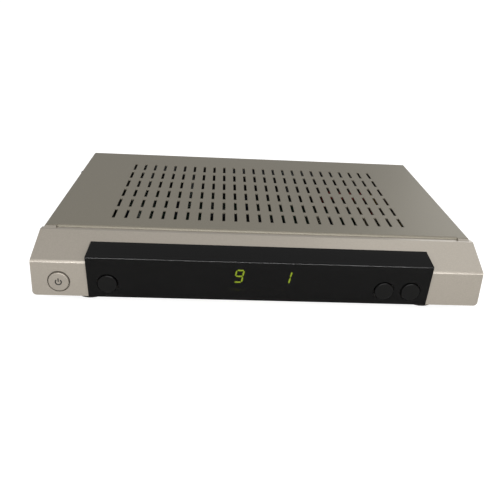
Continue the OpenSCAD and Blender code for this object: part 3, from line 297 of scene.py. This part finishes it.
# Warm bright metal, nearly a mirror, with faint handling marks 2 mm across.
nickel, nickel_shader = new_material("nickel_plated_brass", Metallic=1.0)
add_grain(
    nickel, nickel_shader, size=0.002, dark="#c4bfae", light="#d8d4c6",
    bump=0.000005, roughness=(0.18, 0.28))
give(nickel, "f_connector_nuts", "phono_barrels", "serial_posts", "mains_pins")

turned_sides = 36
turned_smooth_angle = math.radians(32)


def turn(name, place, profile):
    """A piece turned about an axis along +Y: steps of (radius, distance from the place)."""
    x, y, z = place
    radius, reach = profile[0]
    bpy.ops.object.select_all(action="DESELECT")
    bpy.ops.mesh.primitive_circle_add(
        vertices=turned_sides, radius=radius, fill_type="NGON", location=(x, y + reach, z),
        rotation=(math.radians(90), 0, 0))
    piece = bpy.context.object
    piece.name = name
    bpy.ops.object.mode_set(mode="EDIT")
    for next_radius, next_reach in profile[1:]:
        bpy.ops.mesh.extrude_region_move(TRANSFORM_OT_translate={"value": (0, next_reach - reach, 0)})
        ratio = next_radius / radius
        bpy.ops.transform.resize(value=(ratio, 1, ratio), center_override=(x, y + next_reach, z))
        radius, reach = next_radius, next_reach
    bpy.ops.mesh.select_all(action="SELECT")
    bpy.ops.mesh.normals_make_consistent(inside=False)
    bpy.ops.object.mode_set(mode="OBJECT")
    bpy.ops.object.transform_apply(location=True, rotation=True, scale=True)
    bpy.ops.object.shade_smooth_by_angle(angle=turned_smooth_angle)
    return piece


def join(pieces):
    """Several pieces as one."""
    bpy.ops.object.select_all(action="DESELECT")
    for piece in pieces:
        piece.select_set(True)
    bpy.context.view_layer.objects.active = pieces[0]
    bpy.ops.object.join()
    return pieces[0]


# Two sockets turned from brass. Their thread, 9.52 mm across with 32 turns to the inch, is cut
# as rings: the ridges rise, run level and fall at these parts of a pitch.
thread_radius = 0.00476
thread_root = 0.0043
thread_pitch = 0.00079
thread_turns = 9
thread_relief = 0.0008
crest_start = 0.35
crest_end = 0.5
root_start = 0.85
socket_bore = 0.002
bore_depth = 0.007
mouth_flare = 0.0005
mouth_depth = 0.0004
socket_low, socket_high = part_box("f_connectors")
socket_length = socket_high[1] - socket_low[1]
relief_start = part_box("f_connector_nuts")[1][1] - socket_low[1]
thread_start = relief_start + thread_relief
socket_profile = [
    (thread_radius, 0), (thread_radius, relief_start), (thread_root, relief_start),
    (thread_root, thread_start)]
for ridge in range(thread_turns):
    ridge_start = thread_start + ridge * thread_pitch
    socket_profile.append((thread_radius, ridge_start + crest_start * thread_pitch))
    socket_profile.append((thread_radius, ridge_start + crest_end * thread_pitch))
    socket_profile.append((thread_root, ridge_start + root_start * thread_pitch))
    socket_profile.append((thread_root, ridge_start + thread_pitch))
socket_profile += [
    (thread_root, socket_length), (socket_bore + mouth_flare, socket_length),
    (socket_bore, socket_length - mouth_depth), (socket_bore, socket_length - bore_depth)]

# The white ring that holds each centre contact, turned from PTFE and pressed into the bore.
insulator_radius = 0.00198
insulator_inset = 0.0008
insulator_length = 0.006
pin_hole_radius = 0.0006
pin_hole_depth = 0.0042
insulator_front = socket_length - insulator_inset
insulator_back = insulator_front - insulator_length
pin_hole_back = insulator_front - pin_hole_depth
insulator_profile = [
    (insulator_radius, insulator_back), (insulator_radius, insulator_front),
    (pin_hole_radius, insulator_front), (pin_hole_radius, pin_hole_back)]

threads = []
insulators = []
for socket_x in (socket_low[0] + thread_radius, socket_high[0] - thread_radius):
    socket_place = (socket_x, socket_low[1], (socket_low[2] + socket_high[2]) / 2)
    threads.append(turn("threaded_aerial_sockets", socket_place, socket_profile))
    insulators.append(turn("aerial_insulators", socket_place, insulator_profile))
aerial_sockets = join(threads)
aerial_sockets.data.materials.append(nickel)
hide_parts("f_connectors")
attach(aerial_sockets, "case")

# White and waxy. The marks of turning are drawn as a grain of 0.5 mm, to show.
ptfe, ptfe_shader = new_material("turned_ptfe")
add_grain(
    ptfe, ptfe_shader, size=0.0005, dark="#d9d8d2", light="#e9e8e4",
    bump=0.000004, roughness=(0.4, 0.5))
aerial_insulators = join(insulators)
aerial_insulators.data.materials.append(ptfe)
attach(aerial_insulators, "case")

# ---------------------------------------------------------------- scart, phono and serial sockets
# Moulded black thermoplastic bodies with a fine spark-eroded skin, and one coloured
# collar round each phono barrel.

# Satin black. Its spark-eroded grain is drawn at 0.5 mm, coarser than real.
socket_pbt, socket_pbt_shader = new_material("moulded_black_pbt")
add_grain(
    socket_pbt, socket_pbt_shader, size=0.0005, dark="#161617", light="#242425",
    bump=0.00001, roughness=(0.42, 0.58))
give(socket_pbt, "scart_sockets", "phono_block", "serial_insert", "mains_inlet")

# Smooth coloured plastic with a low shine. Its grain is drawn at 0.6 mm, coarser than real.
collar_colours = {
    "white": ("#dddcd5", "#e8e7e1"),
    "red": ("#a01d22", "#b5282c"),
    "yellow": ("#d2b91a", "#e0c92c"),
    "orange": ("#cd6a20", "#dc7d33"),
}
for colour, (dark, light) in collar_colours.items():
    collar_abs, collar_abs_shader = new_material(colour + "_moulded_abs")
    add_grain(
        collar_abs, collar_abs_shader, size=0.0006, dark=dark, light=light,
        bump=0.000008, roughness=(0.35, 0.45))
    give(collar_abs, colour + "_phono_collar")

# ---------------------------------------------------------------- mains supply
# A tan paper-phenolic board carries the fuse in its clips, the choke, the capacitors, the
# transformer, and the transistor on its heat sink. All are soldered to it from below.

# Brown paper laminate, cloudy in patches of 3 mm, under a dull skin of resin.
phenolic, phenolic_shader = new_material("paper_phenolic_board")
add_grain(
    phenolic, phenolic_shader, size=0.003, dark="#63502b", light="#7b6538",
    bump=0.00002, roughness=(0.45, 0.6))
give(phenolic, "supply_board")

# A pale, very glossy tube. It only shows through the slots, so it isn't made clear.
fuse_glass, fuse_glass_shader = new_material("drawn_fuse_glass", IOR=1.5)
add_grain(
    fuse_glass, fuse_glass_shader, size=0.002, dark="#c9cfca", light="#dfe3df",
    bump=0.000005, roughness=(0.06, 0.12))
give(fuse_glass, "mains_fuse")

# Glossy red-brown wire, whose turns show as ridges 0.8 mm apart.
enamelled_copper, enamelled_copper_shader = new_material("enamelled_copper_wire", Metallic=0.7)
add_grain(
    enamelled_copper, enamelled_copper_shader, size=0.0008, dark="#7c3d18", light="#b0622c",
    bump=0.0001, roughness=(0.25, 0.4), stretch=(1, 0.05, 0.05))
give(enamelled_copper, "line_choke")

# Smooth ochre plastic with a low shine and a grain drawn at 0.6 mm, to show.
film_box, film_box_shader = new_material("moulded_film_capacitor_box")
add_grain(
    film_box, film_box_shader, size=0.0006, dark="#b99a30", light="#cfae3e",
    bump=0.00001, roughness=(0.3, 0.42))
give(film_box, "suppression_capacitor")

# Dark ceramic with a dull shine. Its mottle is drawn at 1 mm, coarser than real.
ferrite, ferrite_shader = new_material("pressed_ferrite")
add_grain(
    ferrite, ferrite_shader, size=0.001, dark="#303133", light="#444548",
    bump=0.00002, roughness=(0.4, 0.6))
give(ferrite, "transformer_core")

# Glossy yellow film, whose wound layers show as soft bands 2 mm high.
winding_tape, winding_tape_shader = new_material("polyester_winding_tape")
add_grain(
    winding_tape, winding_tape_shader, size=0.004, dark="#cda722", light="#dfbb35",
    bump=0.00003, roughness=(0.2, 0.35), stretch=(0.3, 0.3, 2))
give(winding_tape, "transformer_winding")

# Pale metal with the lines of its rolling, drawn at 2 mm, coarser than real.
bare_aluminium, bare_aluminium_shader = new_material("mill_finish_aluminium", Metallic=1.0)
add_grain(
    bare_aluminium, bare_aluminium_shader, size=0.002, dark="#b4b6b7", light="#cacccc",
    bump=0.00001, roughness=(0.3, 0.42), stretch=(1, 0.1, 1))
give(bare_aluminium, "supply_heatsink")

# ---------------------------------------------------------------- harness and ribbon
# PVC-covered wires join the supply to the main board, and a grey ribbon joins the main board
# to the front board. Each ends in cream nylon housings.

# Red plastic with a low shine, slightly uneven every 2 mm.
wire_pvc, wire_pvc_shader = new_material("extruded_wire_pvc")
add_grain(
    wire_pvc, wire_pvc_shader, size=0.002, dark="#8e1b18", light="#b02a24",
    bump=0.00002, roughness=(0.35, 0.5), stretch=(1, 1, 0.3))
give(wire_pvc, "supply_harness")

# Grey plastic in ribs 1.3 mm apart, one for each wire.
ribbon_pvc, ribbon_pvc_shader = new_material("laminated_ribbon_pvc")
add_grain(
    ribbon_pvc, ribbon_pvc_shader, size=0.0013, dark="#7d7f80", light="#9a9c9d",
    bump=0.0001, roughness=(0.4, 0.5), stretch=(1, 0, 0))
give(ribbon_pvc, "ribbon_cable")

# Cream plastic with a soft, low shine and a grain drawn at 1 mm, to show.
nylon, nylon_shader = new_material("moulded_cream_nylon")
add_grain(
    nylon, nylon_shader, size=0.001, dark="#d3ccb5", light="#e2dcc8",
    bump=0.00001, roughness=(0.4, 0.55))
give(nylon, "ribbon_connectors", "harness_connectors")

# ---------------------------------------------------------------- front board parts
# Switches with white plungers, a dark infrared receiver and the figure display, whose
# face is tinted epoxy. Only the lit bars shine.

# Dark satin plastic with a grain drawn at 0.6 mm, coarser than real.
switch_nylon, switch_nylon_shader = new_material("moulded_switch_nylon")
add_grain(
    switch_nylon, switch_nylon_shader, size=0.0006, dark="#232220", light="#33322f",
    bump=0.00001, roughness=(0.45, 0.6))
give(switch_nylon, "tact_switches", "infrared_receiver")

# White satin plastic with a grain drawn at 0.6 mm, coarser than real.
plunger_nylon, plunger_nylon_shader = new_material("moulded_white_nylon")
add_grain(
    plunger_nylon, plunger_nylon_shader, size=0.0006, dark="#dedacd", light="#ebe7dc",
    bump=0.00001, roughness=(0.4, 0.5))
give(plunger_nylon, "power_plunger", "menu_plunger", "channel_down_plunger", "channel_up_plunger")

# Nearly black, so that the bars that aren't lit don't show against it.
display_epoxy, display_epoxy_shader = new_material("tinted_display_epoxy")
add_grain(
    display_epoxy, display_epoxy_shader, size=0.0008, dark="#101113", light="#17181a",
    bump=0.000005, roughness=(0.3, 0.4))
give(display_epoxy, "display_module")

# Yellow-green bars that glow strongly, because the smoked window dims them.
lit_bar, lit_bar_shader = new_material(
    "lit_epoxy_bar", Emission_Color=linear("#a6bd2a"), Emission_Strength=95.0)
add_grain(
    lit_bar, lit_bar_shader, size=0.0008, dark="#8fa226", light="#b4c53a",
    bump=0.000005, roughness=(0.35, 0.45))
give(lit_bar, "lit_segments")

# ---------------------------------------------------------------- front bezel and power button
# Injection-moulded ABS, sprayed with warm silver lacquer whose metal flakes give a soft
# satin sheen. The power button is moulded and sprayed in the same batch.

# A satin glow under a clear coat. The flakes, of some 0.05 mm, are drawn at 0.7 mm, to show.
silver_lacquer, silver_lacquer_shader = new_material(
    "sprayed_silver_lacquer_on_abs", Metallic=0.5, Coat_Weight=0.6, Coat_Roughness=0.18)
add_grain(
    silver_lacquer, silver_lacquer_shader, size=0.0007, dark="#aea69a", light="#b5ada1",
    bump=0.000001, roughness=(0.32, 0.36))
give(silver_lacquer, "front_bezel", "power_button")

# The generic power symbol, pad-printed on the cap: an arc of 280 degrees, and a bar that stands
# in its gap. The ink is drawn far thicker than real ink, so that it stays clear of the cap.
cap_low, cap_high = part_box("power_button")
symbol_x = (cap_low[0] + cap_high[0]) / 2
symbol_y = cap_low[1]
symbol_z = (cap_low[2] + cap_high[2]) / 2
symbol_radius = 0.0018
symbol_stroke = 0.0007
ink_depth = 0.00016
half_gap = math.radians(40)
arc_angle = math.radians(280)
arc_steps = 28
bar_length = 1.3 * symbol_radius
bar_middle = (symbol_x, symbol_y, symbol_z + 0.75 * symbol_radius)

# The arc starts as its own cross-section at the right end, which is then spun round.
bpy.ops.object.select_all(action="DESELECT")
bpy.ops.mesh.primitive_plane_add(
    size=1, rotation=(0, half_gap - math.radians(90), 0),
    location=(symbol_x + symbol_radius * math.sin(half_gap), symbol_y,
              symbol_z + symbol_radius * math.cos(half_gap)))
power_symbol = bpy.context.object
power_symbol.name = "power_symbol"
power_symbol.scale = (symbol_stroke, ink_depth, 1)
bpy.ops.object.transform_apply(location=True, rotation=True, scale=True)
bpy.ops.object.mode_set(mode="EDIT")
bpy.ops.mesh.select_all(action="SELECT")
bpy.ops.mesh.spin(
    steps=arc_steps, angle=-arc_angle, center=(symbol_x, symbol_y, symbol_z), axis=(0, 1, 0))
bpy.ops.mesh.primitive_cube_add(size=1, location=bar_middle)
bpy.ops.transform.resize(
    value=(symbol_stroke, ink_depth, bar_length), center_override=bar_middle)
bpy.ops.mesh.select_all(action="SELECT")
bpy.ops.mesh.normals_make_consistent(inside=False)
bpy.ops.object.mode_set(mode="OBJECT")

# Dull black ink. Its mottle is drawn at 0.5 mm, coarser than real.
printed_ink, printed_ink_shader = new_material("pad_printed_ink")
add_grain(
    printed_ink, printed_ink_shader, size=0.0005, dark="#141211", light="#1f1d1b",
    bump=0.000002, roughness=(0.45, 0.6))
power_symbol.data.materials.append(printed_ink)
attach(power_symbol, "power_key")

# ---------------------------------------------------------------- window and black buttons
# The window is one moulding of smoked acrylic, polished all over, which hides all but
# the lit figures. The buttons in it are satin black ABS.

# Clear but nearly black, with a mirror's shine. The IOR starts from acrylic's 1.49 and is
# lowered until the shine is as weak as it looks in the photograph.
smoked_acrylic, smoked_acrylic_shader = new_material(
    "polished_smoked_acrylic", Roughness=0.04, IOR=1.35, Transmission_Weight=1.0)
smoked_acrylic_shader.inputs["Base Color"].default_value = linear("#151515")
give(smoked_acrylic, "display_window")

# A shade less polished than the window, so that the caps show as discs. The IOR is lowered
# from 1.5 as the window's is. The skin's grain is drawn at 0.5 mm, coarser than real.
black_abs, black_abs_shader = new_material("moulded_black_abs", IOR=1.36)
add_grain(
    black_abs, black_abs_shader, size=0.0005, dark="#060606", light="#0d0d0c",
    bump=0.000004, roughness=(0.12, 0.2))
give(black_abs, "menu_button", "channel_down_button", "channel_up_button")

# ---------------------------------------------------------------- top cover and case screws
# A punched and folded steel cover, stove-enamelled in a warm metallic grey whose grit
# shows as a fine sparkle. The screws are black zinc-plated steel.

# Satin grey. Its grit of about 0.1 mm is drawn at 0.8 mm, so that it shows.
cover_enamel, cover_enamel_shader = new_material("stoved_metallic_grey_enamel", Metallic=0.35)
add_grain(
    cover_enamel, cover_enamel_shader, size=0.0008, dark="#868072", light="#938d7f",
    bump=0.000008, roughness=(0.4, 0.48))
give(cover_enamel, "top_cover")

# Dark metal with lighter, rubbed spots, drawn at 0.8 mm, coarser than real.
black_zinc, black_zinc_shader = new_material("black_zinc_screw", Metallic=0.8)
add_grain(
    black_zinc, black_zinc_shader, size=0.0008, dark="#33322f", light="#474542",
    bump=0.00001, roughness=(0.35, 0.48))

# One pan-head screw is turned, its cross is cut, and nine copies of it are placed. The dome is
# given in parts of the head's radius and height.
shank_radius = 0.0015
shank_length = 0.006
point_radius = 0.0012
point_length = 0.0006
head_radius = 0.003
head_height = 0.002
head_dome = [(1, 0.2), (0.94, 0.5), (0.82, 0.78), (0.62, 0.95), (0.5, 1)]
recess_length = 0.0032
recess_width = 0.0008
recess_depth = 0.0013
screw_profile = [
    (point_radius, -shank_length), (shank_radius, point_length - shank_length),
    (shank_radius, 0), (head_radius, 0)]
for part_radius, part_height in head_dome:
    screw_profile.append((part_radius * head_radius, part_height * head_height))
case_screw = turn("cross_recess_screws", (0, 0, 0), screw_profile)

bpy.ops.object.select_all(action="DESELECT")
bpy.ops.mesh.primitive_cube_add(size=1, location=(0, head_height, 0))
recess_cutter = bpy.context.object
bpy.ops.object.mode_set(mode="EDIT")
bpy.ops.transform.resize(
    value=(recess_length, 2 * recess_depth, recess_width), center_override=(0, head_height, 0))
bpy.ops.mesh.primitive_cube_add(size=1, location=(0, head_height, 0))
bpy.ops.transform.resize(
    value=(recess_width, 2 * recess_depth, recess_length), center_override=(0, head_height, 0))
bpy.ops.object.mode_set(mode="OBJECT")
cross_recess = case_screw.modifiers.new("cross_recess", "BOOLEAN")
cross_recess.operation = "DIFFERENCE"
cross_recess.solver = "EXACT"
cross_recess.use_self = True
cross_recess.object = recess_cutter
bpy.context.view_layer.objects.active = case_screw
bpy.ops.object.modifier_apply(modifier="cross_recess")
bpy.data.objects.remove(recess_cutter)

# One screw in each side of the cover, one below each end of the front, one in each tab at the
# cover's rear, and three up through the base into the foot of the rear panel.
cover_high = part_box("top_cover")[1]
base_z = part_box("chassis_base")[0][2]
side_screw_y = 0.0423
side_screw_z = 0.039
front_screw_x = 0.1295
front_screw_y = -0.074
tab_screw_x = (-0.07037, 0.05853)
tab_screw_z = 0.0389
panel_screw_x = (-0.06, 0, 0.06)
panel_screw_y = 0.0787
screw_places = []
for side in (-1, 1):
    screw_places.append(((side * cover_high[0], side_screw_y, side_screw_z), "Z", -90 * side))
    screw_places.append(((side * front_screw_x, front_screw_y, base_z), "X", -90))
for screw_x in tab_screw_x:
    screw_places.append(((screw_x, cover_high[1], tab_screw_z), "X", 0))
for screw_x in panel_screw_x:
    screw_places.append(((screw_x, panel_screw_y, base_z), "X", -90))
screws = []
for place, axis, angle in screw_places:
    placed_screw = case_screw.copy()
    placed_screw.data = case_screw.data.copy()
    placed_screw.data.transform(
        Matrix.Translation(place) @ Matrix.Rotation(math.radians(angle), 4, axis))
    bpy.context.scene.collection.objects.link(placed_screw)
    screws.append(placed_screw)
bpy.data.objects.remove(case_screw)
cross_recess_screws = join(screws)
cross_recess_screws.name = "cross_recess_screws"
cross_recess_screws.data.materials.append(black_zinc)
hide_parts("case_screws")
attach(cross_recess_screws, "case")
